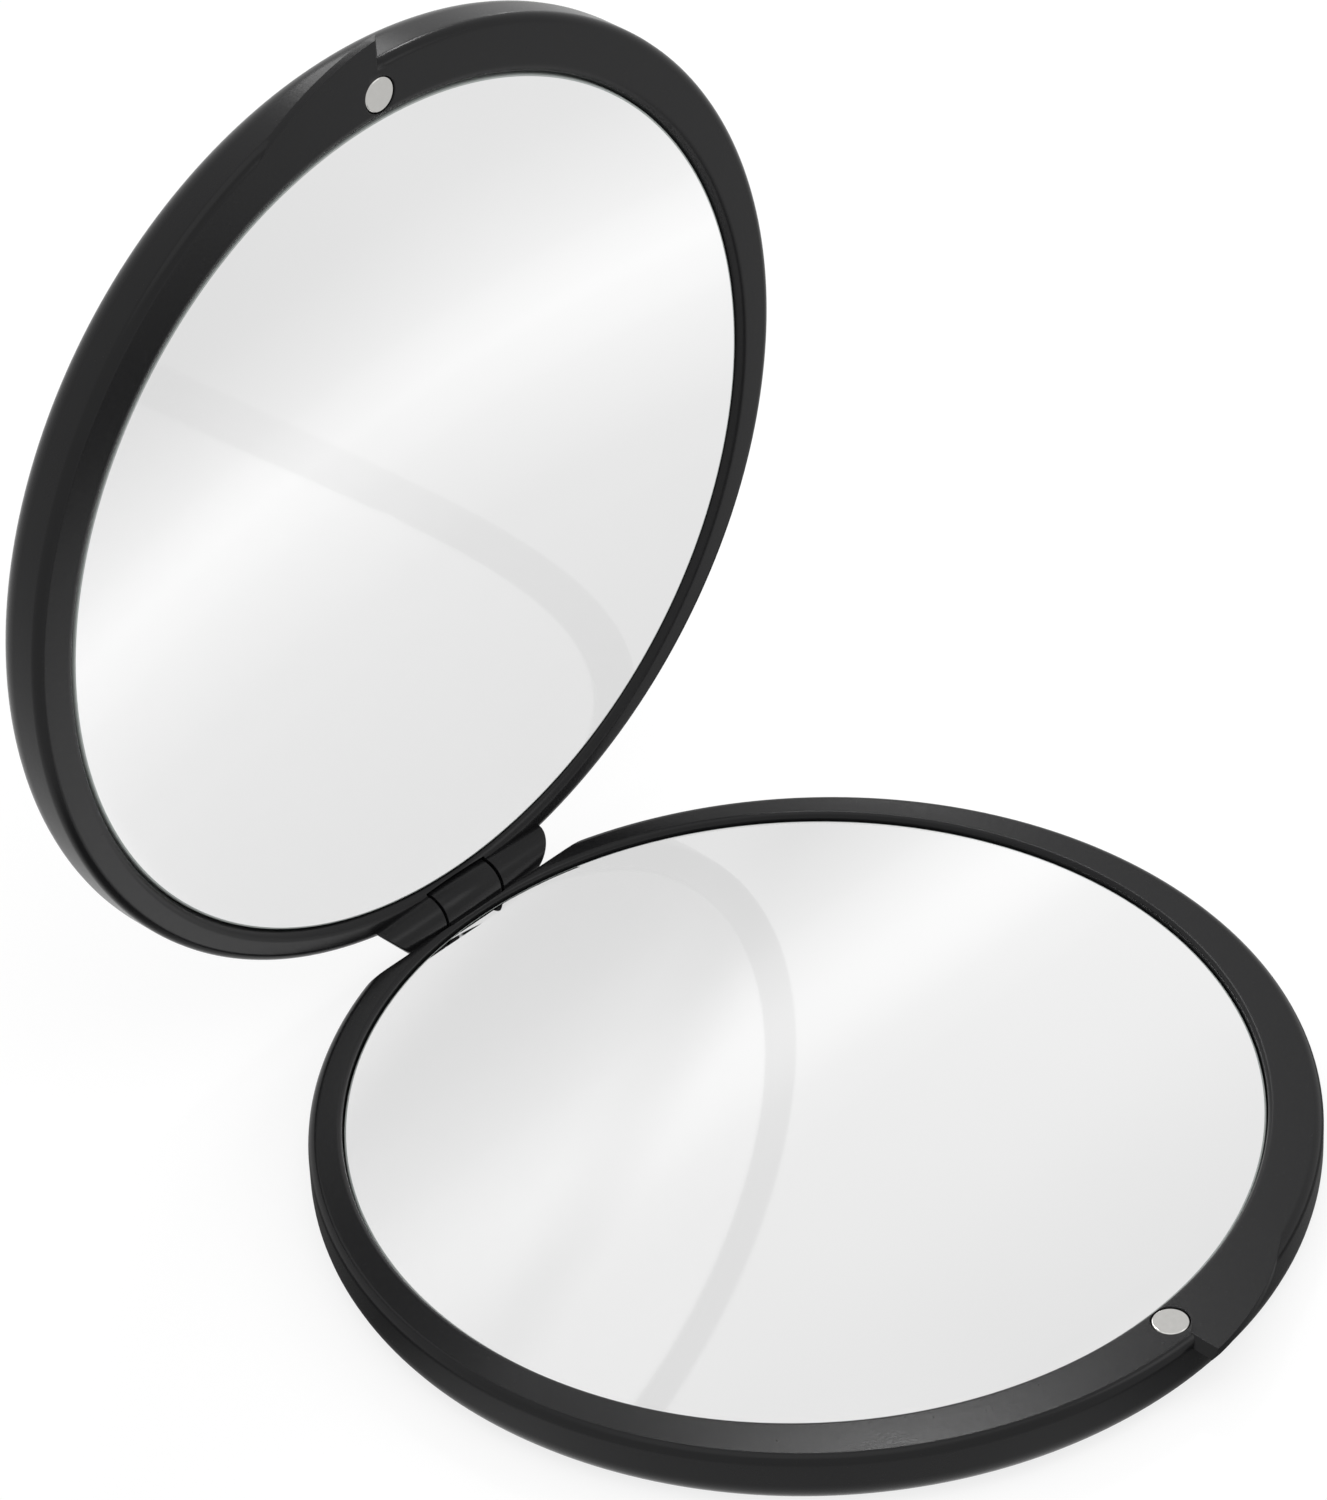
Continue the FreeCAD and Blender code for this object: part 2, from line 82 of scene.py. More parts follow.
class CompactCaseSizes(bpy.types.PropertyGroup):
    """The two moulded halves of the case"""
    radius: length("Case radius", "Outside radius of both halves", 35.15)
    height: length("Half height", "Height of one half, from its back to its rim", 4.5)
    back_edge: length("Back edge", "Rounding between the back and the wall", 2.1)
    rim_edge: length("Rim edge", "Rounding between the wall and the rim", 0.7)
    base_recess: length("Base recess", "Radius of the base's mirror recess", 32.07)
    base_recess_shift: length("Base recess shift", "Shift of that recess towards the hinge", 0.99)
    base_recess_edge: length("Base recess edge", "Rounding of the base's inner rim edge", 0.4)
    lid_recess: length("Lid recess", "Radius of the lid's mirror recess", 31.85)
    lid_recess_shift: length("Lid recess shift", "Shift of that recess towards the hinge", 1.16)
    lid_recess_edge: length("Lid recess edge", "Rounding of the lid's inner rim edge", 0.8)
    seat_depth: length("Seat depth", "Depth of the seat that the mirror's tape lies on", 2.15)
    seat_width: length("Seat width", "Width of that seat", 4.0)
    hollow_depth: length("Hollow depth", "Depth of the hollow behind the mirror", 3.4)
    relief: length("Hinge relief", "Distance of the flat on the base's hinge side from the centre", 33.22)


class CompactLipSizes(bpy.types.PropertyGroup):
    """The thumb lip on the front of each half"""
    reach: length("Lip reach", "How far the lip stands out of the wall", 1.7)
    run: length("Lip length", "Length of the lip along the wall", 11.5)
    curve: length("Lip curve", "Radius of the lip's outer edge", 23.1)
    root: length("Lip root", "Radius, inside the wall, at which the lip starts", 34.5)
    edge: length("Lip edge", "Thickness of the lip's edge", 0.6)
    fall: length("Lip fall", "Height of the slope under the lip", 2.0)
    slope: length("Lip slope", "How far that slope runs back into the case", 2.4)
    rounding: length("Lip rounding", "Rounding of the lip's upper edge", 0.35)


class CompactHingeSizes(bpy.types.PropertyGroup):
    """The hinge behind the two halves"""
    axis_y: length("Axis distance", "Distance of the pin's axis from the base's centre", 35.10)
    axis_z: length("Axis height", "Height of the pin's axis", 4.55)
    knuckle: length("Knuckle radius", "Radius of all three knuckles", 1.7)
    scoop: length("Scoop radius", "Radius of the hollow round the middle knuckle", 1.88)
    scoop_half: length("Scoop half length", "Half the gap between the lid's knuckles", 2.90)
    middle_half: length("Middle half length", "Half the length of the base's knuckle", 2.65)
    barrel_half: length("Barrel half length", "Half the length of the hinge, at its axis", 6.95)
    slant: FloatProperty(name="End slant", description="How far the hinge's ends are turned",
                         default=math.radians(39), subtype="ANGLE")
    middle_edge: length("Middle knuckle edge", "Rounding of the ends of the base's knuckle", 0.12)
    barrel_edge: length("Barrel edge", "Rounding of the hinge's ends", 0.22)
    web_foot: length("Web foot", "Height at which the web under the base's knuckle starts", 1.2)
    web_gap: length("Web gap", "How far that web stays inside the knuckle's ends", 0.15)
    bore: length("Bore radius", "Radius of the hole for the pin", 0.62)
    bore_half: length("Bore half length", "Half the length of the hole in the lid's knuckles", 6.0)
    opening: FloatProperty(name="Opening", description="Angle between the halves as modelled",
                           default=math.radians(91.5), subtype="ANGLE")


class CompactGlassSizes(bpy.types.PropertyGroup):
    """The two mirrors and the two magnets"""
    base_radius: length("Flat mirror radius", "Radius of the base's flat mirror", 31.97)
    base_inset: length("Flat mirror inset", "Depth of its face below the rim", 0.55)
    lid_radius: length("Concave mirror radius", "Radius of the lid's concave mirror", 31.75)
    lid_inset: length("Concave mirror inset", "Depth of its edge below the rim", 0.35)
    lid_curve: length("Concave curve", "Radius of curvature of the lid's mirror", 300.0)
    thickness: length("Glass thickness", "Thickness of both mirrors", 1.2)
    ground_edge: length("Ground edge", "Width of the ground edge of the glass", 0.15)
    magnet: length("Magnet radius", "Radius of the magnets", 1.3)
    magnet_height: length("Magnet height", "Height of the magnets", 2.0)
    magnet_edge: length("Magnet edge", "Rounding of a magnet's edge", 0.12)
    magnet_inset: length("Magnet inset", "Depth of a magnet's face below the rim", 0.05)
    magnet_place: length("Magnet place", "Distance of the magnets from the centre", 32.64)
    pocket: length("Pocket radius", "Radius of a magnet's pocket", 1.36)
    pocket_depth: length("Pocket depth", "Depth of a magnet's pocket", 2.05)
    pocket_edge: length("Pocket edge", "Rounding of a pocket's mouth", 0.07)


class CompactColours(bpy.types.PropertyGroup):
    """The finishes of the pieces"""
    plastic: colour("Plastic", "Matte black of the case", "121213")
    plastic_worn: colour("Handled plastic", "The same black where it is rubbed a little greyer", "181819")
    silver: colour("Silver", "Silver layer of the mirrors", "F4F4F4")
    glass_edge: colour("Glass edge", "Ground edge of the mirrors", "B9BFBC")
    back_paint: colour("Back paint", "Paint on the back of the mirrors", "55585A")
    nickel: colour("Nickel", "Plating of the magnets", "C2C1BE")
    steel: colour("Steel", "Drawn steel of the hinge pin", "A9AAAC")
    foam: colour("Foam", "Foam tape behind the mirrors", "DAD8D0")
    floor: colour("Floor", "Studio floor", "F2F2F2")


def sizes(context, group):
    """The sizes of a group in millimetres, and its angles in radians."""
    held = getattr(context.scene, group)
    angles = ("slant", "opening")
    return {key: getattr(held, key) / (1.0 if key in angles else MM) for key in held.__annotations__}


# Modelling by hand, in millimetres

def deselect():
    """Leave edit mode with nothing selected."""
    if bpy.context.mode != "OBJECT":
        bpy.ops.object.mode_set(mode="OBJECT")
    bpy.ops.object.select_all(action="DESELECT")


def take(piece):
    """Make a piece the only selected one."""
    deselect()
    piece.select_set(True)
    bpy.context.view_layer.objects.active = piece


def begin(name):
    """Name the primitive that was just added and put its place in its mesh."""
    piece = bpy.context.active_object
    piece.name = piece.data.name = name
    bpy.ops.object.transform_apply(location=True, rotation=True, scale=True)
    return piece


def shape(piece):
    """Go into edit mode with all of a piece selected."""
    take(piece)
    bpy.ops.object.mode_set(mode="EDIT")
    bpy.ops.mesh.select_all(action="SELECT")


def choose(kind, wanted):
    """Select the vertices, edges or faces of the piece in hand that are wanted."""
    bpy.ops.mesh.select_mode(type=kind)
    bpy.ops.mesh.select_all(action="DESELECT")
    mesh = bpy.context.edit_object.data
    work = bmesh.from_edit_mesh(mesh)
    members = {"VERT": work.verts, "EDGE": work.edges, "FACE": work.faces}[kind]
    found = [member for member in members if wanted(member)]
    if not found:
        raise RuntimeError("nothing to select on " + mesh.name)
    for member in found:
        member.select_set(True)
    bmesh.update_edit_mesh(mesh)


def on_ring(edge, radius, height, shift=0.0):
    """Whether an edge lies on a level ring round (0, shift)."""
    return all(abs(v.co.z - height) < CLOSE and abs(math.hypot(v.co.x, v.co.y - shift) - radius) < CLOSE
               for v in edge.verts)


def pull(x, y, z):
    """Extrude what is selected."""
    bpy.ops.mesh.extrude_region_move(TRANSFORM_OT_translate={"value": (x, y, z)})


def soften(width, steps):
    """Round the selected edges."""
    bpy.ops.mesh.bevel(offset=width, segments=steps, profile=0.5, affect="EDGES", clamp_overlap=True)


def combine(piece, tool, how):
    """Join a tool to a piece, or cut the piece with it."""
    take(piece)
    cut = piece.modifiers.new("combine", "BOOLEAN")
    cut.operation, cut.object, cut.solver = how, tool, "MANIFOLD"
    bpy.ops.object.modifier_apply(modifier=cut.name)
    bpy.data.objects.remove(tool)


def drum(name, radius, depth, place, turn=(0.0, 0.0, 0.0), flats=96):
    """A round bar to shape further."""
    deselect()
    bpy.ops.mesh.primitive_cylinder_add(vertices=flats, radius=radius, depth=depth,
                                        location=place, rotation=turn)
    return begin(name)


def finish(piece, turn, body, nodes, crease=36):
    """Close and shade a piece, put it in its place in metres, hang it on its body and hide the imported parts
    that it replaces.
    """
    shape(piece)
    bpy.ops.mesh.remove_doubles(threshold=WELD)
    bpy.ops.mesh.normals_make_consistent(inside=False)
    take(piece)
    piece.matrix_world = turn @ Matrix.Scale(MM, 4)
    bpy.ops.object.transform_apply(location=True, rotation=True, scale=True)
    bpy.ops.object.shade_smooth_by_angle(angle=math.radians(crease))
    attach(piece, body)
    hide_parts(*nodes)


def dress(piece, material):
    """Give all of a piece one finish."""
    piece.data.materials.clear()
    piece.data.materials.append(material)
    piece.data.polygons.foreach_set("material_index", [0] * len(piece.data.polygons))


def even_shading(piece):
    """Let the large faces of a piece set its normals, so that flats stay flat beside their roundings."""
    take(piece)
    even = piece.modifiers.new("even shading", "WEIGHTED_NORMAL")
    even.keep_sharp = True
    bpy.ops.object.modifier_apply(modifier=even.name)


def lid_turn(hinge):
    """How the lid, modelled on its back like the base, swings up on the hinge."""
    axis = Vector((0.0, hinge["axis_y"], hinge["axis_z"])) * MM
    return (Matrix.Translation(axis) @ Matrix.Rotation(math.pi - hinge["opening"], 4, "X")
            @ Matrix.Rotation(math.pi, 4, "Z") @ Matrix.Translation(-axis))


# The two halves of the case

def case_half(name, case, recess, shift, edge):
    """A dish with a rounded back, a flat rim and a recess that lies nearer to the hinge."""
    top = case["height"]
    piece = drum(name, case["radius"], top, (0, 0, top / 2), flats=RING)
    shape(piece)
    choose("EDGE", lambda e: on_ring(e, case["radius"], 0.0))
    soften(case["back_edge"], 10)
    choose("EDGE", lambda e: on_ring(e, case["radius"], top))
    soften(case["rim_edge"], 6)
    choose("FACE", lambda f: f.normal.z > LEVEL and abs(f.calc_center_median().z - top) < CLOSE)
    bpy.ops.mesh.inset(thickness=case["radius"] - case["rim_edge"] - recess)
    bpy.ops.transform.translate(value=(0, shift, 0))
    pull(0, 0, -case["seat_depth"])
    bpy.ops.mesh.inset(thickness=case["seat_width"])
    pull(0, 0, case["seat_depth"] - case["hollow_depth"])
    choose("EDGE", lambda e: on_ring(e, recess, top, shift))
    soften(edge, 6)
    deselect()
    return piece


def thumb_lip(case, lip):
    """A thin lip with a curved edge and a sloped underside, stepped off at the middle of the front."""
    start = Vector((lip["run"], -math.sqrt(lip["root"] ** 2 - lip["run"] ** 2)))
    tip = Vector((0.0, -(case["radius"] + lip["reach"])))
    chord = start - tip
    inward = Vector((-chord.y, chord.x)).normalized()
    centre = (start + tip) / 2 + inward * math.sqrt(lip["curve"] ** 2 - (chord.length / 2) ** 2)
    top = case["height"] - FLUSH
    deselect()
    bpy.ops.mesh.primitive_circle_add(vertices=2 * RING, radius=lip["curve"], fill_type="NGON",
                                      location=(centre.x, centre.y, top))
    piece = begin("thumb_lip")
    line = (start - Vector((0.0, -lip["root"]))).normalized()
    shape(piece)
    for spot, kept_side in (((0, 0, top), (1, 0, 0)), ((0, -lip["root"], top), (line.y, -line.x, 0))):
        bpy.ops.mesh.bisect(plane_co=spot, plane_no=kept_side, clear_inner=True)
        bpy.ops.mesh.select_all(action="SELECT")
    pull(0, 0, -lip["edge"])
    # The end of the edge slants outwards, and what lies under it is cut back.
    choose("VERT", lambda v: v.co.x < CLOSE and v.co.z < top - CLOSE)
    bpy.ops.transform.translate(value=(-lip["edge"], 0, 0))
    choose("FACE", lambda f: all(v.co.z < top - CLOSE for v in f.verts))
    pull(0, lip["slope"], -lip["fall"])
    bpy.ops.mesh.select_all(action="SELECT")
    bpy.ops.mesh.bisect(plane_co=(-lip["edge"], 0, top - lip["edge"] - 2 * CLOSE),
                        plane_no=(math.sqrt(0.5), 0, math.sqrt(0.5)), use_fill=True, clear_inner=True)
    bpy.ops.mesh.select_all(action="SELECT")
    bpy.ops.mesh.normals_make_consistent(inside=False)
    choose("EDGE", lambda e: all(v.co.z > top - CLOSE for v in e.verts)
           and (all(abs((v.co.xy - centre).length - lip["curve"]) < CLOSE for v in e.verts)
                or all(v.co.x < CLOSE for v in e.verts)))
    soften(lip["rounding"], 6)
    deselect()
    return piece


def magnet_pocket(case, glass):
    """The tool that sinks a magnet's pocket in a rim and rounds its mouth."""
    top = case["height"]
    flare, rise = 0.4, 0.5   # the tool spreads over the rim, so that the mouth is an edge to round
    place = (0.0, -glass["magnet_place"], top)
    piece = drum("magnet_pocket", glass["pocket"], glass["pocket_depth"],
                 (place[0], place[1], top - glass["pocket_depth"] / 2))
    shape(piece)
    choose("FACE", lambda f: f.normal.z > LEVEL)
    pull(0, 0, 0)
    grow = (glass["pocket"] + flare) / glass["pocket"]
    bpy.ops.transform.resize(value=(grow, grow, 1), center_override=place)
    pull(0, 0, rise)
    choose("EDGE", lambda e: on_ring(e, glass["pocket"], top, place[1]))
    soften(glass["pocket_edge"], 3)
    deselect()
    return piece


class COMPACT_OT_base_case(bpy.types.Operator):
    """Model the half that lies on the table, with the middle knuckle of the hinge"""
    bl_idname = "compact.base_case"
    bl_label = "Base case"

    def execute(self, context):
        case, lip = sizes(context, "compact_case"), sizes(context, "compact_lip")
        hinge, glass = sizes(context, "compact_hinge"), sizes(context, "compact_glass")
        piece = case_half("base_case", case, case["base_recess"], case["base_recess_shift"],
                          case["base_recess_edge"])
        shape(piece)
        bpy.ops.mesh.bisect(plane_co=(0, case["relief"], 0), plane_no=(0, 1, 0),
                            use_fill=True, clear_outer=True)
        combine(piece, thumb_lip(case, lip), "UNION")
        combine(piece, magnet_pocket(case, glass), "DIFFERENCE")

        axis = (0.0, hinge["axis_y"], hinge["axis_z"])
        knuckle = drum("knuckle", hinge["knuckle"], 2 * hinge["middle_half"], axis, ALONG_HINGE)
        shape(knuckle)
        choose("EDGE", lambda e: all(abs(abs(v.co.x) - hinge["middle_half"]) < CLOSE for v in e.verts))
        soften(hinge["middle_edge"], 3)
        deselect()
        sunk = 0.06   # how far the web reaches into the wall
        low, high, inner = hinge["web_foot"], case["height"] - FLUSH, case["relief"] - sunk
        bpy.ops.mesh.primitive_cube_add(
            size=1, location=(0, (inner + axis[1]) / 2, (low + high) / 2),
            scale=(2 * (hinge["middle_half"] - hinge["web_gap"]), axis[1] - inner, high - low))
        web = begin("web")
        shape(web)
        choose("VERT", lambda v: v.co.y > axis[1] - CLOSE and v.co.z < low + CLOSE)
        bpy.ops.transform.translate(value=(0, 0, axis[2] - hinge["knuckle"] - low))
        combine(knuckle, web, "UNION")
        combine(piece, knuckle, "UNION")
        combine(piece, drum("bore", hinge["bore"], THROUGH, axis, ALONG_HINGE, BORE_FLATS), "DIFFERENCE")
        finish(piece, Matrix(), "base", ["base_shell"])
        even_shading(piece)
        dress(piece, soft_touch_plastic(context))
        return {"FINISHED"}


class COMPACT_OT_lid_case(bpy.types.Operator):
    """Model the half that swings, with the two outer knuckles of the hinge"""
    bl_idname = "compact.lid_case"
    bl_label = "Lid case"

    def execute(self, context):
        case, lip = sizes(context, "compact_case"), sizes(context, "compact_lip")
        hinge, glass = sizes(context, "compact_hinge"), sizes(context, "compact_glass")
        piece = case_half("lid_case", case, case["lid_recess"], case["lid_recess_shift"],
                          case["lid_recess_edge"])
        combine(piece, thumb_lip(case, lip), "UNION")
        combine(piece, magnet_pocket(case, glass), "DIFFERENCE")

        axis = (0.0, hinge["axis_y"], hinge["axis_z"])
        barrel = drum("barrel", hinge["knuckle"], 2 * hinge["barrel_half"] + SLANT_SPARE, axis, ALONG_HINGE)
        for side in (1, -1):
            end = Vector((side * math.cos(hinge["slant"]), math.sin(hinge["slant"]), 0))
            spot = Vector((side * hinge["barrel_half"], axis[1], axis[2]))
            shape(barrel)
            bpy.ops.mesh.bisect(plane_co=spot, plane_no=end, use_fill=True, clear_outer=True)
            choose("EDGE", lambda e: all(abs((v.co - spot).dot(end)) < CLOSE for v in e.verts))
            soften(hinge["barrel_edge"], 3)
        combine(piece, barrel, "UNION")
        scoop = drum("scoop", hinge["scoop"], 2 * hinge["scoop_half"], axis, ALONG_HINGE)
        combine(piece, scoop, "DIFFERENCE")
        bore = drum("bore", hinge["bore"], 2 * hinge["bore_half"], axis, ALONG_HINGE, BORE_FLATS)
        combine(piece, bore, "DIFFERENCE")
        finish(piece, lid_turn(hinge), "lid", ["lid_shell"])
        even_shading(piece)
        dress(piece, soft_touch_plastic(context))
        return {"FINISHED"}


# Mirrors and magnets

class COMPACT_OT_mirrors(bpy.types.Operator):
    """Model the flat mirror in the base and the concave one in the lid"""
    bl_idname = "compact.mirrors"
    bl_label = "Mirrors"

    def execute(self, context):
        case, glass = sizes(context, "compact_case"), sizes(context, "compact_glass")
        hinge = sizes(context, "compact_hinge")
        edge, back = ground_glass(context), mirror_back_paint(context)

        shift, face = case["base_recess_shift"], case["height"] - glass["base_inset"]
        flat = drum("base_glass", glass["base_radius"], glass["thickness"],
                    (0, shift, face - glass["thickness"] / 2), flats=RING)
        shape(flat)
        for level in (face, face - glass["thickness"]):
            choose("EDGE", lambda e: on_ring(e, glass["base_radius"], level, shift))
            soften(glass["ground_edge"], 2)
        self.coat(flat, [silvered_glass(context, "silvered_flat_glass", 1.75), edge, back])
        finish(flat, Matrix(), "base", ["base_mirror"], crease=20)

        shift, face = case["lid_recess_shift"], case["height"] - glass["lid_inset"]
        radius, curve, rings = glass["lid_radius"], glass["lid_curve"], 24
        deselect()
        bpy.ops.mesh.primitive_circle_add(vertices=RING, radius=radius, fill_type="NGON",
                                          location=(0, shift, face))
        hollow = begin("lid_glass")
        shape(hollow)
        step = radius / (rings + 1)
        for _ in range(rings):
            bpy.ops.mesh.inset(thickness=step)
        for ring in range(1, rings + 1):
            out = radius - ring * step
            choose("VERT", lambda v: abs(math.hypot(v.co.x, v.co.y - shift) - out) < step / 4)
            sink = math.sqrt(curve ** 2 - out ** 2) - math.sqrt(curve ** 2 - radius ** 2)
            bpy.ops.transform.translate(value=(0, 0, -sink))
        take(hollow)
        wall = hollow.modifiers.new("glass", "SOLIDIFY")
        wall.thickness, wall.offset = glass["thickness"], -1.0
        bpy.ops.object.modifier_apply(modifier=wall.name)
        shape(hollow)
        near = 0.2   # the back's edge leans in by less than this
        for level in (face, face - glass["thickness"]):
            choose("EDGE", lambda e: abs(e.verts[0].co.z - e.verts[1].co.z) < CLOSE / 10 and all(
                abs(v.co.z - level) < near / 2 and math.hypot(v.co.x, v.co.y - shift) > radius - near
                for v in e.verts))
            soften(glass["ground_edge"], 2)
        self.coat(hollow, [silvered_glass(context, "silvered_concave_glass", 1.5), edge, back])
        finish(hollow, lid_turn(hinge), "lid", ["lid_mirror"], crease=20)
        return {"FINISHED"}

    def coat(self, piece, finishes):
        """Silver on the face, a ground edge and a painted back."""
        for one in finishes:
            piece.data.materials.append(one)
        level = 0.99   # the face and the back are flatter than this, the ground edge isn't
        for index, wanted in ((1, lambda f: True), (0, lambda f: f.normal.z > level),
                              (2, lambda f: f.normal.z < -level)):
            choose("FACE", wanted)
            piece.active_material_index = index
            bpy.ops.object.material_slot_assign()
        deselect()


class COMPACT_OT_magnets(bpy.types.Operator):
    """Model a magnet with a rounded edge once, and copy it to the lid"""
    bl_idname = "compact.magnets"
    bl_label = "Magnets"

    def execute(self, context):
        case, glass = sizes(context, "compact_case"), sizes(context, "compact_glass")
        hinge = sizes(context, "compact_hinge")
        face = case["height"] - glass["magnet_inset"]
        plated = nickel_plate(context)
        first = drum("base_magnet_disc", glass["magnet"], glass["magnet_height"],
                     (0, -glass["magnet_place"], face - glass["magnet_height"] / 2))
        shape(first)
        for level in (face, face - glass["magnet_height"]):
            choose("EDGE", lambda e: on_ring(e, glass["magnet"], level, -glass["magnet_place"]))
            soften(glass["magnet_edge"], 4)
        deselect()
        dress(first, plated)
        second = first.copy()
        second.data = first.data.copy()
        second.name = second.data.name = "lid_magnet_disc"
        context.collection.objects.link(second)
        finish(first, Matrix(), "base", ["base_magnet"])
        finish(second, lid_turn(hinge), "lid", ["lid_magnet"])
        for piece in (first, second):
            even_shading(piece)
        return {"FINISHED"}


class COMPACT_OT_hidden_pieces(bpy.types.Operator):
    """Give the hinge pin and the tape behind the mirrors their finishes"""
    bl_idname = "compact.hidden_pieces"
    bl_label = "Pin and tape"

    def execute(self, context):
        dress(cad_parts["hinge_pin"], drawn_steel(context))
        tape = foam_tape(context)
        for node in ("base_mirror_tape", "lid_mirror_tape"):
            dress(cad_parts[node], tape)
        return {"FINISHED"}


# Finishes

def add_node(tree, kind, values=None, links=None, **settings):
    """Add a node with its settings, its socket values and its links."""
    node = tree.nodes.new(kind)
    for key, value in settings.items():
        setattr(node, key, value)
    for key, value in (values or {}).items():
        node.inputs[key].default_value = value
    for key, socket in (links or {}).items():
        tree.links.new(socket, node.inputs[key])
    return node


def new_finish(name):
    """A bare material and its node tree."""
    made = bpy.data.materials.new(name)
    made.use_nodes = True
    made.node_tree.nodes.clear()
    return made, made.node_tree


def close_finish(tree, surface, seen_twice=False):
    """Put a surface out, unseen by the silver of the mirrors, which looks past the case into the studio."""
    path = add_node(tree, "ShaderNodeLightPath")
    past = add_node(tree, "ShaderNodeBsdfTransparent")
    unseen = path.outputs["Is Singular Ray"]
    if seen_twice:
        # Only a mirror's first image looks past it, so a rim's sheen still holds what a mirror shows the rim.
        early = add_node(tree, "ShaderNodeMath", {1: 1.5}, {0: path.outputs["Ray Depth"]},
                         operation="LESS_THAN")
        both = add_node(tree, "ShaderNodeMath", links={0: unseen, 1: early.outputs[0]}, operation="MULTIPLY")
        unseen = both.outputs[0]
    mixed = add_node(tree, "ShaderNodeMixShader",
                     links={0: unseen, 1: surface.outputs[0], 2: past.outputs[0]})
    add_node(tree, "ShaderNodeOutputMaterial", links={"Surface": mixed.outputs[0]})


def soft_touch_plastic(context):
    """Moulded ABS under a sprayed soft-touch paint."""
    held = bpy.data.materials.get("soft_touch_abs")
    if held:
        return held
    # The paint dries to an even dull black with a fine grain. It gives a broad soft sheen and no sharp image.
    colours = context.scene.compact_colours
    made, tree = new_finish("soft_touch_abs")
    place = add_node(tree, "ShaderNodeTexCoord").outputs["Object"]
    cloud = add_node(tree, "ShaderNodeTexNoise", {"Scale": 1 / (9.0 * MM), "Detail": 4.0, "Roughness": 0.6},
                     {"Vector": place})
    tone = add_node(tree, "ShaderNodeMix", {6: (*colours.plastic, 1), 7: (*colours.plastic_worn, 1)},
                    {0: cloud.outputs["Fac"]}, data_type="RGBA")
    # The paint's grain is about 0.05 mm, drawn at 0.22 mm so that it shows.
    grain = add_node(tree, "ShaderNodeTexNoise",
                     {"Scale": 1 / (0.22 * MM), "Detail": 2.0, "Roughness": 0.5},
                     {"Vector": place}).outputs["Fac"]
    rough = add_node(tree, "ShaderNodeMapRange", {"To Min": 0.2, "To Max": 0.3}, {"Value": grain})
    bump = add_node(tree, "ShaderNodeBump", {"Strength": 0.25, "Distance": 0.00002}, {"Height": grain})
    surface = add_node(tree, "ShaderNodeBsdfPrincipled", {"Specular IOR Level": 0.2, "IOR": 1.5},
                       {"Base Color": tone.outputs[2], "Roughness": rough.outputs[0],
                        "Normal": bump.outputs[0]})
    close_finish(tree, surface)
    return made


def mottled(name, tint, dark, grain, noise, shader, rough=None, stretch=None):
    """A finish whose colour, and roughness if it has two levels, vary in a grain given in millimetres."""
    made, tree = new_finish(name)
    place = add_node(tree, "ShaderNodeTexCoord").outputs["Object"]
    if stretch:
        place = add_node(tree, "ShaderNodeMapping", {"Scale": stretch}, {"Vector": place}).outputs[0]
    cloud = add_node(tree, "ShaderNodeTexNoise", {"Scale": 1 / (grain * MM), **noise}, {"Vector": place})
    pattern = cloud.outputs["Fac"]
    dim = tuple(dark * part for part in tint)
    tone = add_node(tree, "ShaderNodeMix", {6: (*dim, 1), 7: (*tint, 1)}, {0: pattern}, data_type="RGBA")
    links = {"Base Color": tone.outputs[2]}
    if rough:
        low, high = rough
        level = add_node(tree, "ShaderNodeMapRange", {"To Min": low, "To Max": high}, {"Value": pattern})
        links["Roughness"] = level.outputs[0]
    close_finish(tree, add_node(tree, "ShaderNodeBsdfPrincipled", shader, links))
    return made


def silvered_glass(context, name, glass_ior):
    """Float glass with a silver layer behind it."""
    # The silver gives back nearly all light as a sharp image. The glass in front of it gives a second, faint
    # and slightly soft one, stronger with a higher index.
    return mottled(name, context.scene.compact_colours.silver, 0.985, 12.0, {"Detail": 3.0},
                   {"Metallic": 1.0, "Roughness": 0.0, "Coat Weight": 1.0, "Coat Roughness": 0.035,
                    "Coat IOR": glass_ior})


def ground_glass(context):
    """The edge of the mirrors, ground with fine grit."""
    # Grinding leaves a pale, dull, slightly green line round the glass.
    return mottled("ground_glass_edge", context.scene.compact_colours.glass_edge, 0.8, 0.2, {"Detail": 2.0},
                   {"Roughness": 0.45, "IOR": 1.52})


def mirror_back_paint(context):
    """The paint that keeps air from the silver."""
    # It is a dull grey lacquer with roller marks, and shows only when a mirror is taken out.
    return mottled("mirror_back_lacquer", context.scene.compact_colours.back_paint, 0.85, 2.0,
                   {"Detail": 3.0}, {"Roughness": 0.6})


def nickel_plate(context):
    """Neodymium magnets with bright nickel plating."""
    # Barrel plating leaves a soft metallic gloss with fine scuffs.
    return mottled("bright_nickel_plating", context.scene.compact_colours.nickel, 0.9, 0.4,
                   {"Detail": 4.0, "Roughness": 0.6}, {"Metallic": 1.0}, rough=(0.06, 0.12))


def drawn_steel(context):
    """The hinge pin's wire."""
    # Drawing leaves fine lines along the wire.
    return mottled("drawn_steel_wire", context.scene.compact_colours.steel, 0.8, 0.08, {"Detail": 2.0},
                   {"Metallic": 1.0}, rough=(0.25, 0.4), stretch=(0.04, 1.0, 1.0))


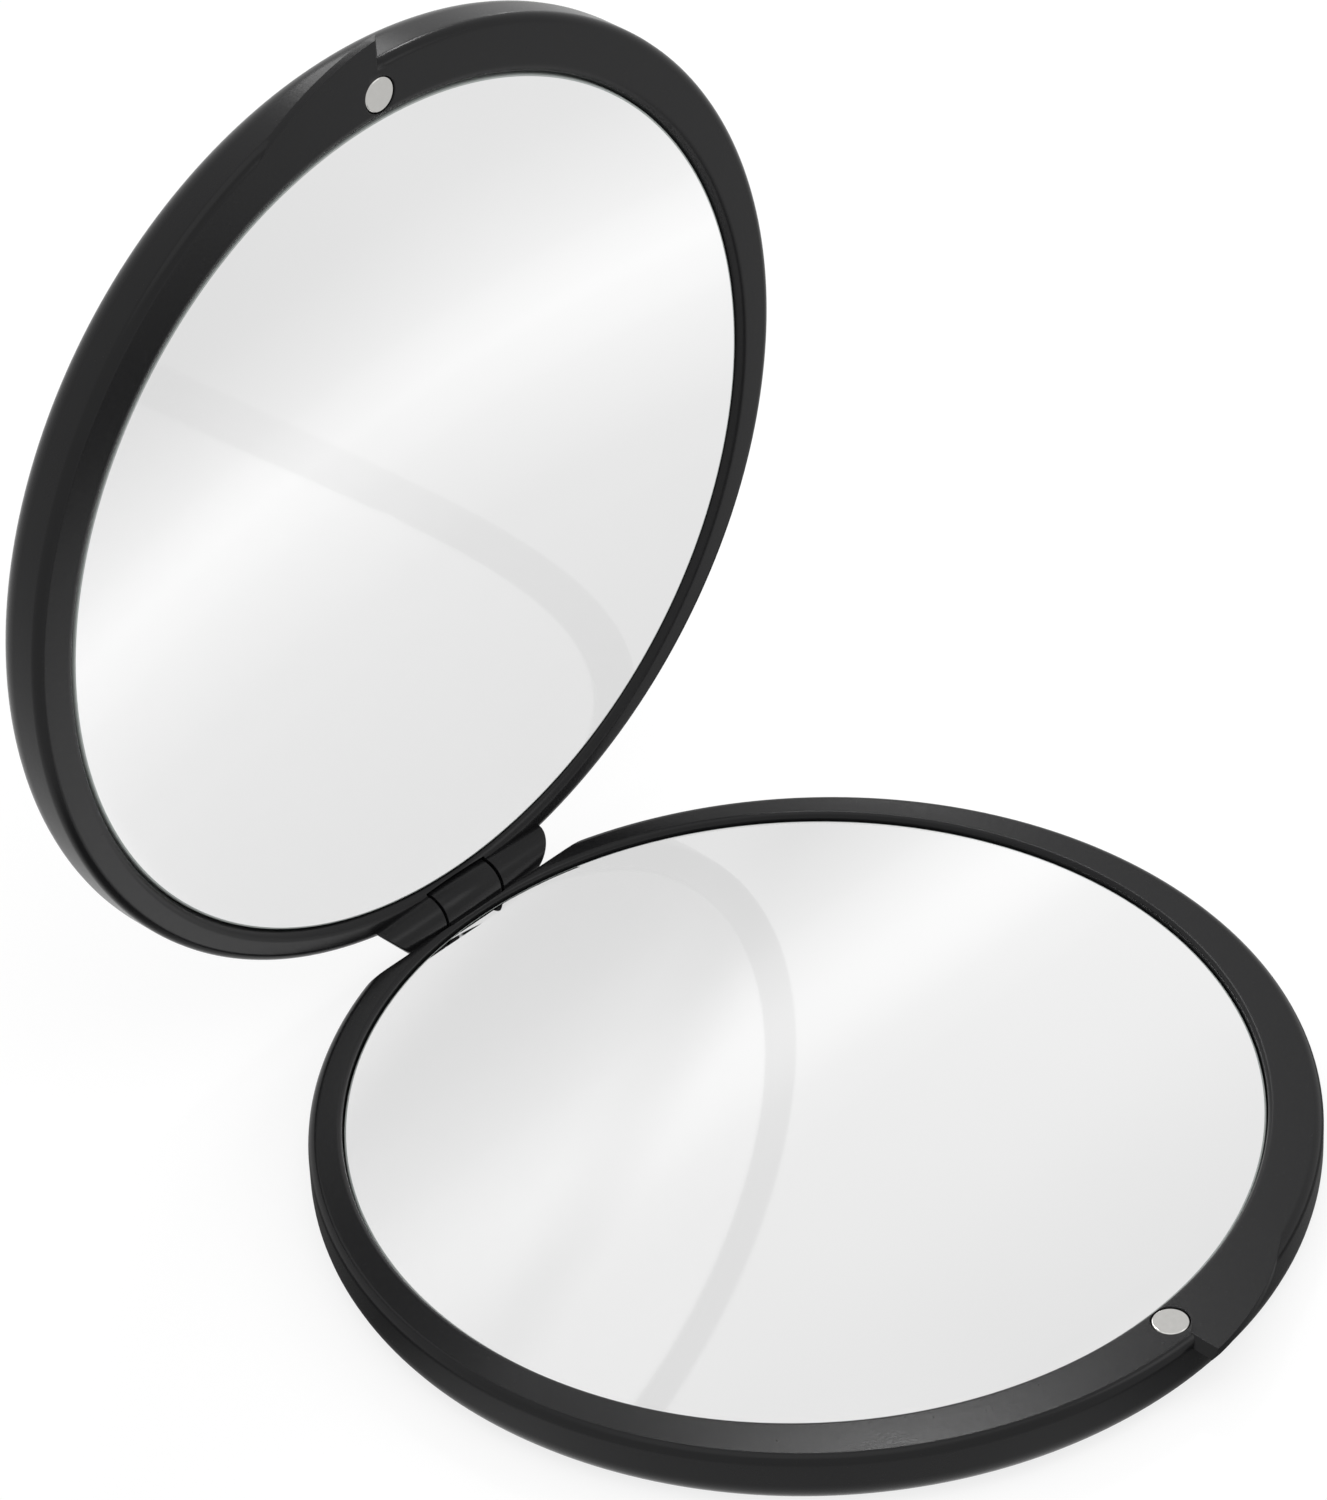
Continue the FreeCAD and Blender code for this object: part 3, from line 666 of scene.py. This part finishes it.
def foam_tape(context):
    """Double-sided tape on a closed-cell foam."""
    # Its cut edges show small round cells.
    foam = context.scene.compact_colours.foam
    made, tree = new_finish("closed_cell_foam_tape")
    place = add_node(tree, "ShaderNodeTexCoord").outputs["Object"]
    bubbles = add_node(tree, "ShaderNodeTexVoronoi", {"Scale": 1 / (0.3 * MM)}, {"Vector": place})
    cells = bubbles.outputs["Distance"]
    dim = tuple(0.75 * part for part in foam)
    tone = add_node(tree, "ShaderNodeMix", {6: (*foam, 1), 7: (*dim, 1)}, {0: cells}, data_type="RGBA")
    bump = add_node(tree, "ShaderNodeBump", {"Strength": 0.5, "Distance": 0.0001}, {"Height": cells})
    surface = add_node(tree, "ShaderNodeBsdfPrincipled", {"Roughness": 0.8},
                       {"Base Color": tone.outputs[2], "Normal": bump.outputs[0]})
    close_finish(tree, surface)
    return made


# The studio

FLOOR_DROP = 0.00005   # metres that the floor lies under the case, so that the two share no plane
WALL_LEVEL = 0.82   # how bright the walls look in the mirrors beside their bands of light
ROOM_LIGHT = 0.62   # how bright the walls are where they only light the case
STOP_SCALE = 0.8   # a ramp's stop holds no more than 1, so tones are stored this much lower

# Painted shade on the floor's glow, as the sheen of the plastic shows it, where the case would shade the
# paper: the place, the distances from it over which the floor grows bright, and its level there. They are at
# the left of the case, at its right front and behind it.
FLOOR_PAINTED_SHADE = (
    ((-0.036, 0.02, 0.0), 0.008, 0.028, 0.12),
    ((0.025, -0.036, 0.0), 0.022, 0.04, 0.2),
    ((0.046, 0.048, 0.0), 0.016, 0.032, 0.12),
)

# The bands of light that the mirrors show, the base's one high in the walls and the lid's one low: the
# directions across and along a band, how far its tones reach, how fast it grows brighter along its length,
# and its tones by their place across it.
UPPER_BAND = ((-0.0033, 0.7679, -0.6405), (0.8445, -0.3409, -0.413), 0.06, 7.3, (
    (-0.056, 0.84), (-0.035, 0.89), (-0.014, 0.925), (-0.008, 0.96), (-0.003, 1.015), (0.003, 1.005),
    (0.01, 0.915), (0.02, 0.81), (0.035, 0.77)))
LOWER_BAND = ((-0.4783, 0.3394, -0.8099), (-0.6912, -0.7144, 0.1088), 0.12, 0.87, (
    (-0.12, 0.83), (-0.06, 0.87), (-0.04, 0.905), (-0.016, 0.99), (-0.003, 1.05), (0.003, 1.055),
    (0.016, 0.98), (0.04, 0.88), (0.063, 0.85)))

# What else changes the upper walls: a direction, the range of a ray's part along it, the levels at both ends
# of that range, and how the one passes into the other.
WALL_PLACES = (
    # The wall that the base's mirror shows at its left is a little brighter.
    ((-0.851, 1.8, -0.804), (0.012, 0.037), (1.0, 1.075), "SMOOTHSTEP"),
    # The wall that the lid's mirror shows to the left of the base's rim is dark.
    ((0.525, -0.5, 0.69), (0.9914, 0.9969), (1.0, 0.2), "SMOOTHSTEP"),
    # The wall in front of the case is brighter, which the base's mirror shows to the lid's rim.
    ((0.0, 1.0, 0.0), (-0.4, -0.2), (1.5, 1.0), "LINEAR"),
)

# The soft boxes: name, place, the point it faces, edge length, strength, and whether a rim's sheen still
# shows it by way of a mirror.
SOFT_BOXES = (
    ("soft_box_right", (0.0972, 0.0845, 0.1714), (-0.0225, -0.026, 0.0045), 0.0185, 33.0, False),
    ("soft_box_high", (0.08, 0.143, 0.165), (0.0, 0.038, 0.076), 0.05, 5.5, False),
    ("soft_box_side", (0.1215, 0.1056, 0.096), (0.029, 0.019, 0.0045), 0.012, 8.0, False),
    ("soft_box_front", (0.048, -0.06, 0.088), (-0.0176, 0.0204, 0.004), 0.045, 2.5, True),
    ("soft_box_top", (-0.1, -0.05, 0.6), (0.0, 0.0, 0.0), 0.5, 1.6, False),
)


def directly_seen(tree, path):
    """1 for rays from the camera, from gloss or through glass, and 0 for those that only gather light."""
    seen = path.outputs["Is Camera Ray"]
    for kind in ("Is Glossy Ray", "Is Transmission Ray"):
        either = add_node(tree, "ShaderNodeMath", links={0: seen, 1: path.outputs[kind]}, operation="MAXIMUM")
        seen = either.outputs[0]
    return seen


def streak(tree, way, across, along, reach, drift, tones):
    """A soft band of light in the studio's walls, along the great circle square to a direction."""
    side = add_node(tree, "ShaderNodeVectorMath", {1: across}, {0: way}, operation="DOT_PRODUCT")
    spread = add_node(tree, "ShaderNodeMapRange", {"From Min": -reach, "From Max": reach},
                      {"Value": side.outputs["Value"]})
    ramp = add_node(tree, "ShaderNodeValToRGB", links={"Fac": spread.outputs[0]})
    ramp.color_ramp.interpolation = "CARDINAL"
    stops = ramp.color_ramp.elements
    while len(stops) < len(tones):
        stops.new(0.5)
    for stop, (place, level) in zip(stops, tones):
        stop.position = (place + reach) / (2 * reach)
        stop.color = (*[STOP_SCALE * level] * 3, 1.0)
    # The band grows brighter along its length, over the level of the walls round it.
    run = add_node(tree, "ShaderNodeVectorMath", {1: along}, {0: way}, operation="DOT_PRODUCT")
    gain = add_node(tree, "ShaderNodeMath", {1: drift, 2: 1.0}, {0: run.outputs["Value"]},
                    operation="MULTIPLY_ADD")
    over = add_node(tree, "ShaderNodeMath", {1: 1 / STOP_SCALE, 2: -WALL_LEVEL}, {0: ramp.outputs["Color"]},
                    operation="MULTIPLY_ADD")
    level = add_node(tree, "ShaderNodeMath", {2: WALL_LEVEL}, {0: over.outputs[0], 1: gain.outputs[0]},
                     operation="MULTIPLY_ADD")
    return level.outputs[0]


class COMPACT_OT_stage(bpy.types.Operator):
    """Set the floor, the lights, the white studio and the camera"""
    bl_idname = "compact.stage"
    bl_label = "Studio"

    def execute(self, context):
        scene = context.scene
        scene.view_settings.view_transform = "Standard"
        self.floor(context)
        self.studio(scene)
        self.soft_boxes()
        self.camera(scene)
        return {"FINISHED"}

    def floor(self, context):
        """A pale sheet that keeps the mirror's shadow."""
        # How bright the paper is in the plastic's sheen and to the camera, and the part that takes a shadow.
        in_sheen, in_view, shaded = 0.95, 0.8, 0.25
        deselect()
        bpy.ops.mesh.primitive_plane_add(size=6.0, location=(0, 0, -FLOOR_DROP))
        sheet = begin("studio_floor")
        made, tree = new_finish("pale_paper_floor")
        place = add_node(tree, "ShaderNodeTexCoord").outputs["Object"]
        path = add_node(tree, "ShaderNodeLightPath")
        camera_ray = path.outputs["Is Camera Ray"]
        paper = add_node(tree, "ShaderNodeBsdfDiffuse", {"Color": (*context.scene.compact_colours.floor, 1)})
        sheen = None
        # Painted shade: near the case, the floor's glow in the plastic's sheen is darkened where the case
        # would shade the paper.
        for spot, near, far, low in FLOOR_PAINTED_SHADE:
            away = add_node(tree, "ShaderNodeVectorMath", {1: spot}, {0: place}, operation="DISTANCE")
            painted_shade = add_node(tree, "ShaderNodeMapRange",
                             {"From Min": near, "From Max": far, "To Min": low, "To Max": 1.0},
                             {"Value": away.outputs["Value"]}, interpolation_type="SMOOTHSTEP").outputs[0]
            links = {0: painted_shade} if sheen is None else {0: painted_shade, 1: sheen}
            sheen = add_node(tree, "ShaderNodeMath", {1: in_sheen}, links, operation="MULTIPLY").outputs[0]
        bright = add_node(tree, "ShaderNodeMix", {3: in_view}, {0: camera_ray, 2: sheen})
        white = add_node(tree, "ShaderNodeEmission", {"Color": (1, 1, 1, 1)}, {"Strength": bright.outputs[0]})
        grey = add_node(tree, "ShaderNodeMix", {6: (0, 0, 0, 1), 7: (shaded, shaded, shaded, 1)},
                        {0: camera_ray}, data_type="RGBA")
        thin = add_node(tree, "ShaderNodeBsdfDiffuse", links={"Color": grey.outputs[2]})
        glow = add_node(tree, "ShaderNodeAddShader", links={0: white.outputs[0], 1: thin.outputs[0]})
        both = add_node(tree, "ShaderNodeMixShader",
                        links={0: directly_seen(tree, path), 1: paper.outputs[0], 2: glow.outputs[0]})
        close_finish(tree, both)
        sheet.data.materials.append(made)

    def studio(self, scene):
        """White walls for the camera, and for the mirrors walls with one soft band of light each."""
        world = bpy.data.worlds.new("studio")
        scene.world = world
        world.use_nodes = True
        tree = world.node_tree
        tree.nodes.clear()
        way = add_node(tree, "ShaderNodeTexCoord").outputs["Generated"]
        path = add_node(tree, "ShaderNodeLightPath")
        upper, lower = streak(tree, way, *UPPER_BAND), streak(tree, way, *LOWER_BAND)
        for facing, (near, far), (first, last), easing in WALL_PLACES:
            part = add_node(tree, "ShaderNodeVectorMath", {1: facing}, {0: way}, operation="DOT_PRODUCT")
            level = add_node(tree, "ShaderNodeMapRange",
                             {"From Min": near, "From Max": far, "To Min": first, "To Max": last},
                             {"Value": part.outputs["Value"]}, interpolation_type=easing)
            changed = add_node(tree, "ShaderNodeMath", links={0: upper, 1: level.outputs[0]},
                               operation="MULTIPLY")
            upper = changed.outputs[0]
        height = add_node(tree, "ShaderNodeSeparateXYZ", links={0: way})
        above = add_node(tree, "ShaderNodeMath", {1: 0.0}, {0: height.outputs["Z"]}, operation="GREATER_THAN")
        walls = add_node(tree, "ShaderNodeMix", links={0: above.outputs[0], 6: lower, 7: upper},
                         data_type="RGBA")
        plain = add_node(tree, "ShaderNodeMix", {6: (ROOM_LIGHT, ROOM_LIGHT, ROOM_LIGHT, 1), 7: (1, 1, 1, 1)},
                         {0: directly_seen(tree, path)}, data_type="RGBA")
        every = add_node(tree, "ShaderNodeMix",
                         links={0: path.outputs["Is Singular Ray"], 6: plain.outputs[2], 7: walls.outputs[2]},
                         data_type="RGBA")
        back = add_node(tree, "ShaderNodeBackground", {"Strength": 1.0}, {"Color": every.outputs[2]})
        add_node(tree, "ShaderNodeOutputWorld", links={"Surface": back.outputs[0]})

    def soft_boxes(self):
        """Glowing cloth panels. With the lid up, neither mirror shows them to the camera."""
        for name, place, target, size, glow, seen_twice in SOFT_BOXES:
            lean = (Vector(target) - Vector(place)).to_track_quat("-Z", "Y").to_euler()
            deselect()
            bpy.ops.mesh.primitive_plane_add(size=size, location=place, rotation=lean)
            box = begin(name)
            made, tree = new_finish(name + "_cloth")
            light = add_node(tree, "ShaderNodeEmission", {"Strength": glow})
            close_finish(tree, light, seen_twice)
            box.data.materials.append(made)
            box.visible_camera = False

    def camera(self, scene):
        """A long lens above the left front, at the photograph's angle."""
        lens = bpy.data.cameras.new("view")
        lens.sensor_width, lens.lens = 36.0, 177.84
        lens.clip_start, lens.clip_end = 0.01, 20.0
        view = bpy.data.objects.new("view", lens)
        place = Vector((-0.27638, -0.27354, 0.34021))
        turn = Euler([math.radians(degrees) for degrees in (51.97624, 2.38248, -45.81325)])
        view.matrix_world = Matrix.Translation(place) @ turn.to_matrix().to_4x4()
        scene.collection.objects.link(view)
        scene.camera = view


# The add-on

STEPS = (COMPACT_OT_base_case, COMPACT_OT_lid_case, COMPACT_OT_mirrors, COMPACT_OT_magnets,
         COMPACT_OT_hidden_pieces, COMPACT_OT_stage)
GROUPS = {"compact_case": CompactCaseSizes, "compact_lip": CompactLipSizes,
          "compact_hinge": CompactHingeSizes, "compact_glass": CompactGlassSizes,
          "compact_colours": CompactColours}


class COMPACT_PT_panel(bpy.types.Panel):
    """The pieces of the mirror, and the sizes and colours behind them"""
    bl_idname = "COMPACT_PT_panel"
    bl_label = "Compact Mirror"
    bl_space_type = "VIEW_3D"
    bl_region_type = "UI"
    bl_category = "Compact"

    def draw(self, context):
        for step in STEPS:
            self.layout.operator(step.bl_idname)
        for key, group in GROUPS.items():
            box = self.layout.box()
            for prop in group.__annotations__:
                box.prop(getattr(context.scene, key), prop)


def register():
    for group in GROUPS.values():
        bpy.utils.register_class(group)
    for key, group in GROUPS.items():
        setattr(bpy.types.Scene, key, PointerProperty(type=group))
    for step in STEPS:
        bpy.utils.register_class(step)
    bpy.utils.register_class(COMPACT_PT_panel)


def unregister():
    bpy.utils.unregister_class(COMPACT_PT_panel)
    for step in reversed(STEPS):
        bpy.utils.unregister_class(step)
    for key, group in GROUPS.items():
        delattr(bpy.types.Scene, key)
        bpy.utils.unregister_class(group)


def main():
    register()
    bpy.ops.compact.base_case()
    bpy.ops.compact.lid_case()
    bpy.ops.compact.mirrors()
    bpy.ops.compact.magnets()
    bpy.ops.compact.hidden_pieces()
    bpy.ops.compact.stage()


if __name__ == "__main__":
    main()
